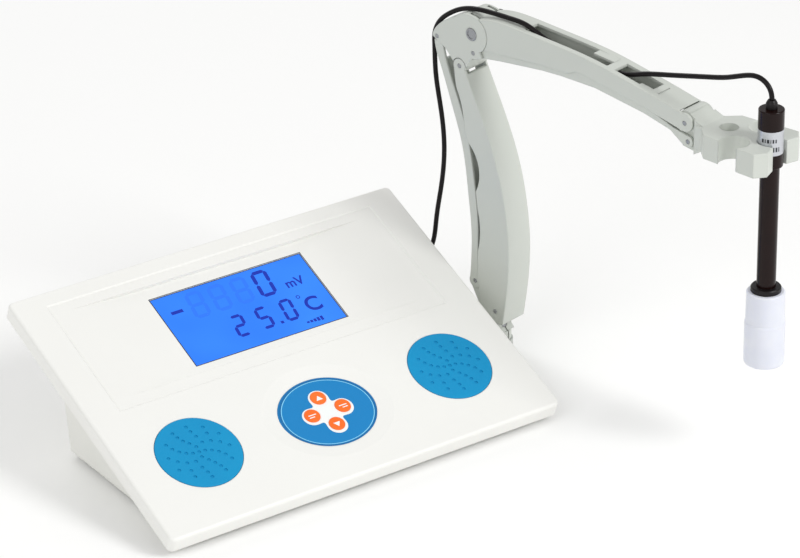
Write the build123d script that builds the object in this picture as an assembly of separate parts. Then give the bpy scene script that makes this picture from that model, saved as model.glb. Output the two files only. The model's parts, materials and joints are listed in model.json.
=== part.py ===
"""Bench pH meter with a slanted display, keypad and a double-parallelogram electrode arm.

Units are millimetres. +Z is up, +X is to the user's right, -Y is towards the user.
Pieces are drawn with the origin on the desk under the centre of the slanted top plate,
and written out with the origin under the middle of the whole object.
"""
import os
from math import atan, cos, degrees, hypot, pi, radians, sin, tan

from build123d import *

STAND_X, STAND_Y = 49.71, -55.83     # middle of the whole object's footprint

# ---------------------------------------------------------------- meter case
PLATE_W = 290.0          # width of the top plate
PLATE_L = 209.0          # length of the top plate along its slope
PLATE_T = 11.2           # depth of the plate's skirt
TILT = 22.7              # slope of the plate, degrees
FRONT_Z = 14.3           # height of the plate's top front edge above the desk
SKIN = 2.6               # wall thickness of the top plate
FLANGE_T = 2.2           # thickness of the closing panel under the plate
CASE_HALF_W = 131.5      # half width of the wedge under the plate
CASE_WALL = 2.5
FOOT_H = 3.0             # height of the rubber feet below the case
CASE_FRONT_Y = -86.0
CASE_BACK_Y = 52.6       # back edge of the case's floor
CASE_BACK_TOP_Y = 60.6   # where the back wall meets the plate
SCREW_XY = ((-100, -66), (100, -66), (-100, 40), (100, 40))
FOOT_XY = ((-118, -72), (118, -72), (-118, 38), (118, 38))

# ------------------------------------------------- display, keypad and pads
FRAME_X, FRAME_V0, FRAME_V1 = 123.0, 102.5, 197.5
SCOOP_X, SCOOP_V0, SCOOP_V1 = 109.0, 112.0, 189.5
FRAME_D, SCOOP_D = 0.9, 3.4
LCD_X, LCD_V0, LCD_V1 = 57.0, 119.5, 180.0
LCD_D = 4.0              # depth of the display glass below the plate
KEY_V = 53.7             # keypad centre, measured up the plate
KEYPAD_A, KEYPAD_B = 33.4, 27.2
DISH_A, DISH_B, DISH_D = 45.0, 38.0, 1.7
KEY_R = 5.3
KEY_OFFSET = 11.4
PAD_X, PAD_V, PAD_R = 94.0, 54.8, 27.7
PAD_TOP, PAD_FLOOR = 0.5, -1.8   # top of the pads and floor of their pockets, from the plate's surface
DIMPLE_R = 1.15
DIMPLE_RINGS = ((1, 0.0), (4, 4.2), (6, 8.3), (8, 12.4), (10, 16.5), (12, 20.6))   # count and radius

# --------------------------------------------------------------- arm layout
# Arm coordinates: s forward from the swivel axis, t across (away from the meter), z up.
SWIVEL_X, SWIVEL_Y = 172.5, 8.5
ARM_YAW = 13.0           # the arm points this far outwards from straight ahead
OUT = 11.0               # half width of the outer link walls
OUT_IN = 9.2
MID = 9.0                # half width of the inner link walls
MID_IN = 7.2
CORE = 6.8               # half width of turret and solid cores
LOWER_FRONT = (6.0, 34.3)
PIN_STEP = (-19.0, 15.7)         # from a front pin to its rear pin
ELBOW_FRONT = (-23.1, 202.0)
TOP_PIVOT = (-12.5, 226.7)
TOP_STEP = (1.3, -12.7)          # from a top-link pin to its bottom-link pin
HEAD_PIVOT = (160.4, 214.8)
LOWER_REAR = (LOWER_FRONT[0] + PIN_STEP[0], LOWER_FRONT[1] + PIN_STEP[1])
ELBOW_REAR = (ELBOW_FRONT[0] + PIN_STEP[0], ELBOW_FRONT[1] + PIN_STEP[1])
BOTTOM_PIVOT = (TOP_PIVOT[0] + TOP_STEP[0], TOP_PIVOT[1] + TOP_STEP[1])
HEAD_LOWER = (HEAD_PIVOT[0] + TOP_STEP[0], HEAD_PIVOT[1] + TOP_STEP[1])
# Both ends and the depth of each bite in the front link's walls.
FRONT_BITES = (((-27.4, 189), (-19.4, 156), 2.4),
               ((-18.6, 152), (-11.0, 115), 7.6),
               ((-10.4, 110), (-9.5, 71), 3.3))
SEAM_R = 13.0            # the top link turns round the elbow on this radius
PIN_R = 1.5
RUN = 0.05               # radial running clearance
POST_R = 5.0

# ------------------------------------------------------- head and electrode
HEAD_TOP, HEAD_BOTTOM = 216.0, 200.0
ELECTRODE_S = 217.5
CAP_R, ROD_R = 8.0, 6.0
CAP_Z0, CAP_Z1 = 200.0, 237.5
LABEL_Z0, LABEL_Z1 = 209.2, 224.8
ROD_END = 84.0
BOTTLE_R, BOTTLE_Z0, BOTTLE_Z1 = 12.7, 66.0, 115.5
SHOULDER_Z, MOUTH_R = 94.0, 8.6  # faint step round the bottle, and radius of its mouth
PROBE_S, PROBE_R = 186.2, 6.0
SIDE_NOTCH = (201.5, 15.0, 9.5)  # s, t and radius of the spare side clips

# -------------------------------------------------------------- rear panel
BACK_TILT = degrees(atan((CASE_BACK_TOP_Y - CASE_BACK_Y) / 65.0))
SOCKET_Z = 32.0
BNC_X, TEMP_X, REF_X = 100.0, 72.0, 50.0
INLET_X, ROCKER_X, FUSE_X = -76.0, -44.0, -18.0
ROCKER_TILT = 7.0
CABLE_R = 1.6
SLOT_END = (122, -2, 233.8)      # where the cable enters the top link's slot, and its direction there
SLOT_RUN = (-0.96, 0, -0.28)
CREST_END = (14, -4.8, 243.1)    # where it leaves the top link for the elbow, and its direction there
CREST_RUN = (-1, 0, 0)
DROP_START = (-49.6, -5, 206)    # where it hangs free behind the elbow


# ------------------------------------------------------------------ helpers
def on_plate(shape):
    """Move a shape from plate coordinates (x, up the slope, outwards) to the part's frame."""
    return Pos(0, -PLATE_L / 2 * cos(radians(TILT)), FRONT_Z) * Rot(TILT, 0, 0) * shape


def on_arm(shape):
    """Move a shape from arm coordinates (s, t, z) to the part's frame."""
    return Pos(SWIVEL_X, SWIVEL_Y, 0) * Rot(0, 0, ARM_YAW - 90) * shape


def on_back(x, shape):
    """Stand a shape built along +Z on the outer face of the back wall at height SOCKET_Z."""
    y = CASE_BACK_Y + (SOCKET_Z - FOOT_H) * tan(radians(BACK_TILT))
    return Pos(x, y, SOCKET_Z) * Rot(-90 - BACK_TILT, 0, 0) * shape


def tube_at(x, y, z0, z1, r):
    """A vertical cylinder between two heights."""
    return Pos(x, y, z0) * Cylinder(r, z1 - z0, align=(Align.CENTER, Align.CENTER, Align.MIN))


def block(x0, x1, y0, y1, z0, z1):
    """A box between two corners."""
    return Pos(x0, y0, z0) * Box(x1 - x0, y1 - y0, z1 - z0, align=(Align.MIN, Align.MIN, Align.MIN))


def cross(face, t0, t1):
    """Extrude an outline drawn in (s, z) across the arm from t0 to t1."""
    return Pos(0, t0, 0) * extrude(Plane.XZ * face, amount=-(t1 - t0))


def both(face, t0, t1):
    """The same outline on both sides of the arm's middle plane."""
    return cross(face, t0, t1) + cross(face, -t1, -t0)


def disc(centre, r):
    """A round outline in (s, z)."""
    return Pos(centre[0], centre[1]) * Circle(r)


def polygon(*points):
    """A straight-sided outline in (s, z)."""
    return make_face(Polyline(*points, close=True))


def blend_outline(first, second):
    """An outline with two smooth sides, joined by straight ends."""
    side_a = Spline(*first)
    side_b = Spline(*second)
    return make_face([side_a, Line(first[-1], second[0]), side_b, Line(second[-1], first[0])])


def cable(points, start, end, r=CABLE_R):
    """A round cable swept along a smooth curve, with its directions at both ends."""
    path = Spline(*points, tangents=(start, end), tangent_scalars=(1, 1))
    return sweep(Plane(path @ 0, z_dir=path % 0) * Circle(r), path=path)


def soften(shape, half, radius, shortest=2.0):
    """Round the outer edges of a link, where its side walls turn into the rim."""
    edges = [e for e in shape.edges() if abs(abs(e.center().Y) - half) < 1e-3 and e.length > shortest
             and e.bounding_box().size.Y < 1e-3]
    return fillet(edges, radius)


# --------------------------------------------------------------- meter case
def wedge(inset, floor_z, lift):
    """The wedge under the plate, drawn in (y, z) and run across the case."""
    slope = tan(radians(TILT))
    front = CASE_FRONT_Y + inset
    under = -PLATE_L / 2 * cos(radians(TILT)) + PLATE_T * sin(radians(TILT))
    low = FRONT_Z - PLATE_T * cos(radians(TILT))
    back_lean = (CASE_BACK_TOP_Y - CASE_BACK_Y) / 65.0
    back0 = CASE_BACK_Y - inset + (floor_z - FOOT_H) * back_lean
    top = low + (back0 - under) * slope + lift
    back1 = back0 + (top - floor_z) * back_lean
    outline = make_face(Polyline(
        (front, floor_z), (back0, floor_z), (back1, low + (back1 - under) * slope + lift),
        (front, low + (front - under) * slope + lift), close=True))
    half = CASE_HALF_W - inset
    return Pos(-half, 0, 0) * extrude(Plane.YZ * outline, amount=2 * half)


def top_cover():
    slab = Box(PLATE_W, PLATE_L, PLATE_T, align=(Align.CENTER, Align.MIN, Align.MAX))
    slab = fillet(slab.edges().filter_by(Axis.Z), 4)
    slab = fillet(slab.faces().sort_by(Axis.Z)[-1].edges(), 2.2)
    slab = fillet(slab.faces().sort_by(Axis.Z)[0].edges(), 0.8)
    hollow = block(3 - PLATE_W / 2, PLATE_W / 2 - 3, 3, PLATE_L - 3, -SKIN - PLATE_T, -SKIN)
    slab -= fillet(hollow.edges().filter_by(Axis.Z), 3)
    slab += block(-112, 112, 108, 193, -6.2, -SKIN + 0.1)
    slab += Pos(0, KEY_V) * extrude(Plane.XY.offset(-5.2) * Ellipse(DISH_A + 2, DISH_B + 2), 5.2 - SKIN + 0.1)
    for x in (-PAD_X, PAD_X):
        slab += tube_at(x, PAD_V, PAD_FLOOR - 2.4, -SKIN + 0.1, PAD_R + 2.5)
    slab -= display_recess()
    slab -= keypad_dish()
    for x in (-PAD_X, PAD_X):
        slab -= tube_at(x, PAD_V, PAD_FLOOR, 1, PAD_R + 0.3)
    cover = on_plate(slab)
    for post_x, post_y in SCREW_XY:
        post = tube_at(post_x, post_y, FOOT_H + CASE_WALL + 0.1, 120, 4)
        post -= tube_at(post_x, post_y, 0, 15, 1.5)
        post -= on_plate(block(-200, 200, -50, 300, -SKIN + 0.3, 200))
        cover += post
    return cover


def display_recess():
    """The stepped frame and the scoop that falls from both ends to the display window."""
    frame = Pos(0, (FRAME_V0 + FRAME_V1) / 2) * loft([
        Plane.XY.offset(-FRAME_D) * Rectangle(2 * FRAME_X - 1.8, FRAME_V1 - FRAME_V0 - 1.8),
        Plane.XY.offset(0.3) * Rectangle(2 * FRAME_X + 0.8, FRAME_V1 - FRAME_V0 + 0.8)])
    left = Spline((-SCOOP_X, -FRAME_D), (-LCD_X - 2, -SCOOP_D), tangents=((1, -0.02), (1, -0.02)))
    right = Spline((LCD_X + 2, -SCOOP_D), (SCOOP_X, -FRAME_D), tangents=((1, 0.02), (1, 0.02)))
    outline = make_face([
        left, Line((-LCD_X - 2, -SCOOP_D), (LCD_X + 2, -SCOOP_D)), right,
        Line((SCOOP_X, -FRAME_D), (SCOOP_X, 1)), Line((SCOOP_X, 1), (-SCOOP_X, 1)),
        Line((-SCOOP_X, 1), (-SCOOP_X, -FRAME_D))])
    scoop = Pos(0, SCOOP_V0, 0) * extrude(Plane.XZ * outline, amount=-(SCOOP_V1 - SCOOP_V0))
    window = block(-LCD_X, LCD_X, LCD_V0, LCD_V1, -8, 1)
    pocket = block(-LCD_X - 2.5, LCD_X + 2.5, LCD_V0 - 2.5, LCD_V1 + 2.5, -8, -LCD_D)
    return frame + scoop + window + pocket


def keypad_dish():
    """The shallow oval dish, the seat of the keypad and the holes for the key stems."""
    dish = loft([Plane.XY.offset(-DISH_D) * Ellipse(KEYPAD_A + 1, KEYPAD_B + 1),
                 Plane.XY.offset(-DISH_D * 0.3) * Ellipse(DISH_A - 3.5, DISH_B - 3.5),
                 Plane.XY.offset(0.15) * Ellipse(DISH_A, DISH_B)])
    seat = extrude(Plane.XY.offset(-2.7) * Ellipse(KEYPAD_A + 0.15, KEYPAD_B + 0.15), 3)
    cut = dish + seat
    for dx, dv in key_spots():
        cut += tube_at(dx, dv, -8, 0, 3.2)
    return Pos(0, KEY_V) * cut


def key_spots():
    """Key centres relative to the keypad's centre: up, down, left and right."""
    return ((0, KEY_OFFSET), (0, -KEY_OFFSET), (-KEY_OFFSET, 0), (KEY_OFFSET, 0))


def bottom_case():
    flange = Pos(0, 3.2, -PLATE_T + FLANGE_T) * Box(
        PLATE_W - 6.4, PLATE_L - 6.4, FLANGE_T, align=(Align.CENTER, Align.MIN, Align.MAX))
    flange = fillet(flange.edges().filter_by(Axis.Z), 2.8)
    tub = wedge(0, FOOT_H, 0.8)
    tub = fillet(tub.edges().filter_by(Axis.X).sort_by(Axis.Z)[0:2], 2.0)
    upright = [e for e in tub.edges() if abs(abs(e.center().X) - CASE_HALF_W) < 0.1 and e.center().Y > 50
               and e.length > 40]
    tub = fillet(upright, 4.0)
    case = on_plate(flange) + tub
    case -= wedge(CASE_WALL, FOOT_H + CASE_WALL, 30)
    for x, y in SCREW_XY:
        case -= tube_at(x, y, 0, 20, 1.7)
        case -= tube_at(x, y, 0, FOOT_H + 1.3, 3.2)
    for x, y in FOOT_XY:
        case -= tube_at(x, y, 0, FOOT_H + 0.9, 7.1)
    for x, y in bracket_screw_spots():
        case += tube_at(x, y, FOOT_H + 1, 13, 4.5)
        case -= tube_at(x, y, 0, 11.5, 2.0)
    case -= on_back(BNC_X, tube_at(0, 0, -8, 8, 4.9))
    case -= on_back(TEMP_X, tube_at(0, 0, -8, 8, 4.1))
    case -= on_back(REF_X, tube_at(0, 0, -8, 8, 2.6))
    case -= on_back(FUSE_X, tube_at(0, 0, -8, 8, 6.1))
    case -= on_back(INLET_X, block(-13.6, 13.6, -10.1, 10.1, -8, 8))
    case -= on_back(ROCKER_X, block(-9.6, 9.6, -6.6, 6.6, -8, 8))
    return case


def rubber_feet():
    foot = Cylinder(7, FOOT_H + 0.85, align=(Align.CENTER, Align.CENTER, Align.MIN))
    foot = fillet(foot.faces().sort_by(Axis.Z)[0].edges(), 1.0)
    return Compound([Pos(x, y, 0) * foot for x, y in FOOT_XY])


def case_screws():
    shank = tube_at(0, 0, FOOT_H + 1.2, 13.5, 1.45)
    head = fillet(tube_at(0, 0, FOOT_H - 0.4, FOOT_H + 1.25, 2.8).faces().sort_by(Axis.Z)[0].edges(), 0.6)
    screw = shank + head - tube_at(0, 0, 0, FOOT_H + 0.5, 0.9)
    return Compound([Pos(x, y, 0) * screw for x, y in SCREW_XY])


def lcd_panel():
    glass = block(-LCD_X - 2.3, LCD_X + 2.3, LCD_V0 - 2.3, LCD_V1 + 2.3, -LCD_D - 2.0, -LCD_D)
    return on_plate(glass)


def lcd_backlight():
    lamp = block(-LCD_X, LCD_X, LCD_V0, LCD_V1, -8.7, -LCD_D - 2.05)
    lamp += block(LCD_X, LCD_X + 4, 140, 160, -8.7, -6.5)
    return on_plate(lamp)


def keypad_overlay():
    sheet = extrude(Plane.XY.offset(-2.65) * Ellipse(KEYPAD_A, KEYPAD_B), 1.15)
    sheet = fillet(sheet.faces().sort_by(Axis.Z)[-1].edges(), 0.4)
    for dx, dv in key_spots():
        sheet -= tube_at(dx, dv, -5, 5, KEY_R + 0.15)
    return on_plate(Pos(0, KEY_V) * sheet)


def key(dx, dv):
    """One round key: a domed cap and a stem that reaches its dome switch."""
    cap = tube_at(dx, KEY_V + dv, -2.1, -0.8, KEY_R)
    cap = fillet(cap.faces().sort_by(Axis.Z)[-1].edges(), 0.5)
    return on_plate(cap + tube_at(dx, KEY_V + dv, -7.0, -2.0, 2.6))


def key_up():
    return key(0, KEY_OFFSET)


def key_down():
    return key(0, -KEY_OFFSET)


def key_left():
    return key(-KEY_OFFSET, 0)


def key_right():
    return key(KEY_OFFSET, 0)


def keypad_board():
    board = Pos(0, KEY_V) * block(-30, 30, -22, 22, -9.6, -8.0)
    for dx, dv in key_spots():
        dome = tube_at(dx, KEY_V + dv, -8.05, -7.55, 3.4)
        board += fillet(dome.faces().sort_by(Axis.Z)[-1].edges(), 0.4)
    board += block(-20, 20, KEY_V - 20, KEY_V - 15, -12.4, -9.55)
    return on_plate(board)


def pad(x):
    """A blue pad with rings of small dimples."""
    body = tube_at(x, PAD_V, PAD_FLOOR + 0.1, PAD_TOP, PAD_R)
    body = fillet(body.faces().sort_by(Axis.Z)[-1].edges(), 0.6)
    dimples = []
    for count, ring in DIMPLE_RINGS:
        for i in range(count):
            a = 2 * pi * i / count + 0.35 * ring
            dimples.append(tube_at(x + ring * cos(a), PAD_V + ring * sin(a), PAD_TOP - 0.5, 2, DIMPLE_R))
    return on_plate(body - dimples)


def left_pad():
    return pad(-PAD_X)


def right_pad():
    return pad(PAD_X)


def main_board():
    board = block(-40, 92, 82, 150, -17.0, -15.4)
    board += block(-30, -8, 100, 122, -15.5, -13.0)
    board += block(10, 24, 96, 110, -15.5, -13.4)
    board += block(30, 44, 96, 110, -15.5, -13.4)
    board += tube_at(60, 100, -15.5, -10.6, 4)
    board += tube_at(74, 100, -15.5, -10.6, 4)
    for x, v in board_screw_spots():
        board -= tube_at(x, v, -20, -10, 1.6)
    return on_plate(board)


def board_screw_spots():
    return ((-35, 87), (87, 87), (-35, 145), (87, 145))


def board_posts():
    """Stand-offs that carry the main board under the plate, with their screws."""
    shapes = []
    for x, v in board_screw_spots():
        post = tube_at(x, v, -19.0, -17.05, 2.9) + tube_at(x, v, -17.2, -10.8, 1.5)
        post += tube_at(x, v, -15.35, -10.8, 3.0)
        shapes.append(on_plate(post))
    return Compound(shapes)


def transformer():
    core = block(-108, -62, -8, 30, 7.5, 44)
    core -= block(-99, -71, -20, 40, 14, 37)
    winding = block(-98.5, -71.5, -12, 34, 14.5, 36.5)
    winding = fillet(winding.edges().filter_by(Axis.Y), 2)
    feet = block(-118, -52, 3, 19, FOOT_H + CASE_WALL + 0.1, 7.6)
    return core + winding + feet


# --------------------------------------------------------------- rear panel
def bnc_socket():
    body = tube_at(0, 0, 0.05, 1.6, 7) + tube_at(0, 0, -9, 12, 4.8) + tube_at(0, 0, -5.6, -3.0, 7)
    body += Pos(0, 0, 8) * Rot(0, 90, 0) * Cylinder(0.9, 11.2)
    body -= tube_at(0, 0, 2, 13, 3.9)
    return on_back(BNC_X, body + tube_at(0, 0, 1.5, 10, 1.6))


def temp_socket():
    body = fillet(tube_at(0, 0, 0.05, 2.4, 6.5).faces().sort_by(Axis.Z)[-1].edges(), 0.8)
    body += tube_at(0, 0, -8, 5.5, 4.0)
    return on_back(TEMP_X, body - tube_at(0, 0, -4, 8, 1.8))


def ref_terminal():
    knob = tube_at(0, 0, 2.5, 12, 5)
    knob = fillet(knob.faces().sort_by(Axis.Z)[-1].edges(), 1)
    for i in range(8):
        knob -= tube_at(5.4 * cos(i * pi / 4), 5.4 * sin(i * pi / 4), 2, 13, 0.9)
    return on_back(REF_X, knob + tube_at(0, 0, 0.05, 2.6, 4) + tube_at(0, 0, -8, 3, 2.5))


def power_inlet():
    body = block(-15.5, 15.5, -12, 12, 0.05, 2.2)
    body = fillet(body.edges().filter_by(Axis.Z), 2)
    body += block(-13.4, 13.4, -9.9, 9.9, -16, 0.2)
    body -= fillet(block(-12, 12, -8.4, 8.4, -13.5, 3).edges().filter_by(Axis.Z), 3)
    for x, y in ((-7, 2), (0, -3), (7, 2)):
        body += block(x - 1, x + 1, y - 2, y + 2, -14, -1.5)
    return on_back(INLET_X, body)


def rocker_frame():
    body = fillet(block(-11, 11, -8, 8, 0.05, 1.8).edges().filter_by(Axis.Z), 1.5)
    body += block(-9.4, 9.4, -6.4, 6.4, -13, 0.2)
    return on_back(ROCKER_X, body - block(-8.6, 8.6, -5.6, 5.6, -9, 3))


def power_rocker():
    outline = polygon((-7.6, -2), (-7.6, 3.2), (0, 2.0), (7.6, 3.2), (7.6, -2), (0, -5))
    paddle = cross(outline, -5.3, 5.3)
    paddle = fillet(paddle.edges().filter_by(Axis.Y).sort_by(Axis.Z)[-2:], 0.8)
    return on_back(ROCKER_X, Pos(0, 0, 0.6) * Rot(0, -ROCKER_TILT, 0) * paddle)


def fuse_holder():
    body = tube_at(0, 0, 0.05, 3, 8) + tube_at(0, 0, -16, 0.2, 6.0)
    cap = tube_at(0, 0, 2.9, 9, 6)
    cap = fillet(cap.faces().sort_by(Axis.Z)[-1].edges(), 1)
    return on_back(FUSE_X, body + cap - block(-4.5, 4.5, -0.7, 0.7, 7.8, 12))


# ------------------------------------------------------------- arm mounting
def bracket_screw_spots():
    return ((100, 8.5), (122, 0.5), (122, 16.5))


def arm_bracket():
    """Steel bar screwed under the case, with a boss that holds the swivel post."""
    bar = block(90, SWIVEL_X, SWIVEL_Y - 15, SWIVEL_Y + 15, 0.6, 2.95)
    bar = fillet(bar.edges().filter_by(Axis.Z).sort_by(Axis.X)[0:2], 5)
    bar -= block(150, 200, SWIVEL_Y + 9, SWIVEL_Y + 30, 0, 5)
    bar -= block(150, 200, SWIVEL_Y - 30, SWIVEL_Y - 9, 0, 5)
    bar += tube_at(SWIVEL_X, SWIVEL_Y, 0.6, 2.95, 9)
    bar += tube_at(SWIVEL_X, SWIVEL_Y, 2.9, 9.0, 9)
    bar -= tube_at(SWIVEL_X, SWIVEL_Y, 2.0, 20, POST_R + 0.01)
    for x, y in bracket_screw_spots():
        bar -= tube_at(x, y, 0, 5, 2.2)
        bar -= tube_at(x, y, 0, 2.0, 3.8)
    return bar


def bracket_screws():
    screw = tube_at(0, 0, 0.65, 1.95, 3.6) + tube_at(0, 0, 1.9, 10.5, 1.95)
    screw -= Pos(0, 0, 0.65) * (Box(4.6, 0.8, 1.2) + Box(0.8, 4.6, 1.2))
    return Compound([Pos(x, y, 0) * screw for x, y in bracket_screw_spots()])


def swivel_post():
    post = tube_at(0, 0, 2.05, 27, POST_R)
    return on_arm(chamfer(post.faces().sort_by(Axis.Z)[-1].edges(), 0.8))


def turret():
    """Turns on the post and carries both lower pins between the links' walls."""
    outline = polygon((-8, 9.3), (8, 9.3), (8, 15), (4.6, 19), (4.2, 24.5), (-3, 30), (-4, 40), (-8, 46),
                      (-17.5, 47), (-17.5, 44), (-10, 30), (-8, 16))
    body = cross(outline, -CORE, CORE)
    body += cross(polygon((-6, 27), (3.5, 29), (6, 30), (6, 38.6), (-6, 43)), -CORE, CORE)
    body += cross(disc(LOWER_FRONT, 4.3), -MID, MID) + cross(disc(LOWER_REAR, 4.0), -CORE, CORE)
    body += tube_at(0, 0, 9.3, 16, 8)
    body = body & (tube_at(0, 0, 9.3, 16.1, 8) + block(-30, 30, -20, 20, 16, 70))
    body -= tube_at(0, 0, 5, 27.4, POST_R + RUN)
    body -= block(3, 12, -0.5, 0.5, 5, 22)
    body -= cross(disc(LOWER_FRONT, PIN_R + 0.01), -20, 20)
    body -= cross(disc(LOWER_REAR, PIN_R + 0.01), -20, 20)
    return on_arm(body)


def pin(centre, half):
    """A plain pin through one pivot, with chamfered ends."""
    rod = cross(disc(centre, PIN_R), -half, half)
    return on_arm(chamfer(rod.edges(), 0.25))


def lower_front_pin():
    return pin(LOWER_FRONT, OUT + 0.2)


def lower_rear_pin():
    return pin(LOWER_REAR, MID - 0.05)


def elbow_front_pin():
    return pin(ELBOW_FRONT, OUT + 0.2)


def elbow_rear_pin():
    return pin(ELBOW_REAR, OUT + 0.1)


def bottom_link_pin():
    return pin(BOTTOM_PIVOT, OUT + 0.1)


def head_upper_pin():
    return pin(HEAD_PIVOT, OUT + 0.2)


def head_lower_pin():
    return pin(HEAD_LOWER, MID + 0.15)


def front_link():
    """Outer channel of the lower arm. Leaf-shaped bites along its back edge open it to the rear link."""
    front = [(-18.6, 200), (-7.5, 177), (0.9, 159), (10.9, 131), (15.6, 108), (18.0, 84), (17.6, 65),
             (15.4, 45), (12.2, 26)]
    back = [(1.0, 26), (-5.5, 36), (-9, 53), (-9, 70), (-8.4, 92), (-10.6, 118), (-14.2, 137), (-18.2, 154),
            (-25.0, 180), (-28.0, 200)]
    outline = blend_outline(front, back)
    body = soften(cross(outline, -OUT, OUT), OUT, 0.7, 60.0) + cross(disc(ELBOW_FRONT, 5), -OUT, OUT)
    foot_opening = polygon((-45, 10), (9.3, 10), (9.3, 27), (-45, 60))
    body -= cross(Pos(-2.3, 0) * outline + foot_opening, -OUT_IN, OUT_IN)
    body -= block(-60, 30, -OUT_IN, OUT_IN, 197.0, 230)
    for low, high, depth in FRONT_BITES:
        body -= both(leaf(low, high, depth), OUT_IN - 1, OUT + 1)
    body -= pin_hole(LOWER_FRONT) + pin_hole(ELBOW_FRONT)
    return on_arm(body)


def leaf(low, high, depth):
    """A shallow bite whose chord joins two points of a wall's edge."""
    mx, mz = (low[0] + high[0]) / 2, (low[1] + high[1]) / 2
    length = hypot(high[0] - low[0], high[1] - low[1])
    nx, nz = (low[1] - high[1]) / length, (high[0] - low[0]) / length
    bite = ThreePointArc(low, (mx + nx * depth, mz + nz * depth), high)
    back = ThreePointArc(high, (mx - nx * depth, mz - nz * depth), low)
    return make_face([bite, back])


def pin_hole(centre, r=PIN_R + RUN):
    return cross(disc(centre, r), -20, 20)


def rear_link():
    """Inner channel of the lower arm, open towards the front link."""
    back = [(-46.2, 214), (-45.0, 207), (-42, 199), (-31.2, 169.5), (-24.6, 150), (-18.2, 109), (-16.2, 88),
            (-16.4, 68), (-17.9, 50)]
    front = [(-10.0, 50), (-10.6, 66), (-10.4, 92), (-12.2, 115), (-15.4, 137), (-19.4, 157), (-28.2, 181),
             (-35.6, 199), (-39, 213)]
    outline = blend_outline(back, front)
    channel = blend_outline([(s + 1.9, z) for s, z in back], [(s + 8, z) for s, z in front])
    body = soften(cross(outline, -MID, MID), MID, 0.5, 60.0) - cross(channel, -MID_IN, MID_IN)
    body += cross(disc(LOWER_REAR, 4.9), -MID, MID)
    body += cross(disc(ELBOW_REAR, 4.3), -MID, MID)
    body -= block(-80, 30, -MID_IN, MID_IN, 200, 260)
    body -= block(-80, 30, -MID_IN, MID_IN, 0, 68)
    body -= pin_hole(LOWER_REAR) + pin_hole(ELBOW_REAR)
    return on_arm(body)


# -------------------------------------------------------------------- elbow
def elbow_outline():
    """Side view of the elbow: crest, both ears and the seam round the top pivot."""
    px, pz = TOP_PIVOT
    top = (px + 12.8 * cos(radians(80)), pz + 12.8 * sin(radians(80)))
    mid = (px + 12.8 * cos(radians(10)), pz + 12.8 * sin(radians(10)))
    end = (px + 12.8 * cos(radians(-57)), pz + 12.8 * sin(radians(-57)))
    crest = Spline((-46.2, 217.0), (-43.2, 223.6), (-35, 230.8), (-23.5, 237.0), top,
                   tangents=((0.1, 1), (1, -0.17)))
    seam = ThreePointArc(top, mid, end)
    rest = Polyline(end, (-3.6, 212.3), (-6.5, 210.8), (-12.4, 209.8), (-15.8, 205.6), (-18.2, 200.6),
                    (-25.5, 198.0), (-29.2, 204.5), (-35.8, 211.6), (-40.5, 213.6), (-46.2, 217.0))
    return make_face([crest, seam, rest])


def elbow_bracket():
    outline = elbow_outline()
    core = cross(outline, -OUT, OUT)
    core = soften(core, OUT, 0.7, 5.0)
    channel = disc(TOP_PIVOT, SEAM_R + 0.25) + disc(BOTTOM_PIVOT, 4.6) + disc(ELBOW_REAR, 4.8)
    channel += polygon((-60, 226), (-44, 219), (-37.6, 217.2), (-34.2, 212.4), (-28.8, 203.5), (-27, 190),
                       (-60, 190))
    channel += polygon((-15.4, 222), (-15.4, 210), (-10, 205), (10, 205), (10, 222))
    core -= both(channel, CORE + 0.2, OUT_IN)
    core -= both(disc(ELBOW_FRONT, 5.5), MID, OUT + 1)
    core -= both(polygon((-24, 201), (-32, 196), (-32, 180), (-12, 180), (-12, 197)), MID, OUT + 1)
    core += cross(disc(ELBOW_FRONT, 4.6), -MID, MID)
    for spot in (ELBOW_REAR, BOTTOM_PIVOT, ELBOW_FRONT):
        core -= pin_hole(spot, PIN_R + 0.01)
    core -= pin_hole(TOP_PIVOT, 3.01)
    core -= cross(disc(TOP_PIVOT, 4.35), -OUT - 1, -OUT + 0.9)
    return on_arm(core)


def tension_bolt():
    """Bolt through the top pivot: a ringed head on the near side, thread on the far side."""
    rod = cross(disc(TOP_PIVOT, 3.0), -10.6, 16.5)
    head = cross(disc(TOP_PIVOT, 4.3), -OUT - 0.5, -OUT + 0.85)
    head = fillet(head.edges(), 0.3)
    return on_arm(rod + head - cross(disc(TOP_PIVOT, 2.9), -OUT - 2, -OUT - 0.1))


def tension_knob():
    """Scalloped knob on the far side that sets the arm's friction."""
    body = cross(disc(TOP_PIVOT, 8), 12.6, 19.5)
    body = fillet(body.edges(), 0.9)
    for i in range(6):
        a = i * pi / 3
        body -= cross(disc((TOP_PIVOT[0] + 9.2 * cos(a), TOP_PIVOT[1] + 9.2 * sin(a)), 2.4), 11, 21)
    body += cross(disc(TOP_PIVOT, 6), 11.3, 12.7)
    return on_arm(body - cross(disc(TOP_PIVOT, 3.0 + RUN), 0, 17.0))


# ---------------------------------------------------------------- upper arm
def top_link_outline():
    px, pz = TOP_PIVOT
    start = (px + SEAM_R * cos(radians(64)), pz + SEAM_R * sin(radians(64)))
    mid = (px + SEAM_R * cos(radians(10)), pz + SEAM_R * sin(radians(10)))
    end = (px + SEAM_R * cos(radians(-42)), pz + SEAM_R * sin(radians(-42)))
    top = Spline(start, (2, 240.3), (22, 240.6), (45, 239.0), (86, 235.4), (111, 231), (130, 227.2),
                 (158, 221.0))
    tip = ThreePointArc((158, 221.0), (166.4, 214.8), (158.6, 209.1))
    low = Polyline((158.6, 209.1), (127, 216.4), (103, 220.4), (78.5, 224.4), (73.3, 224.4), (67, 221.5),
                   (45, 221.2), end)
    seam = ThreePointArc(end, mid, start)
    return make_face([top, tip, low, seam])


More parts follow.
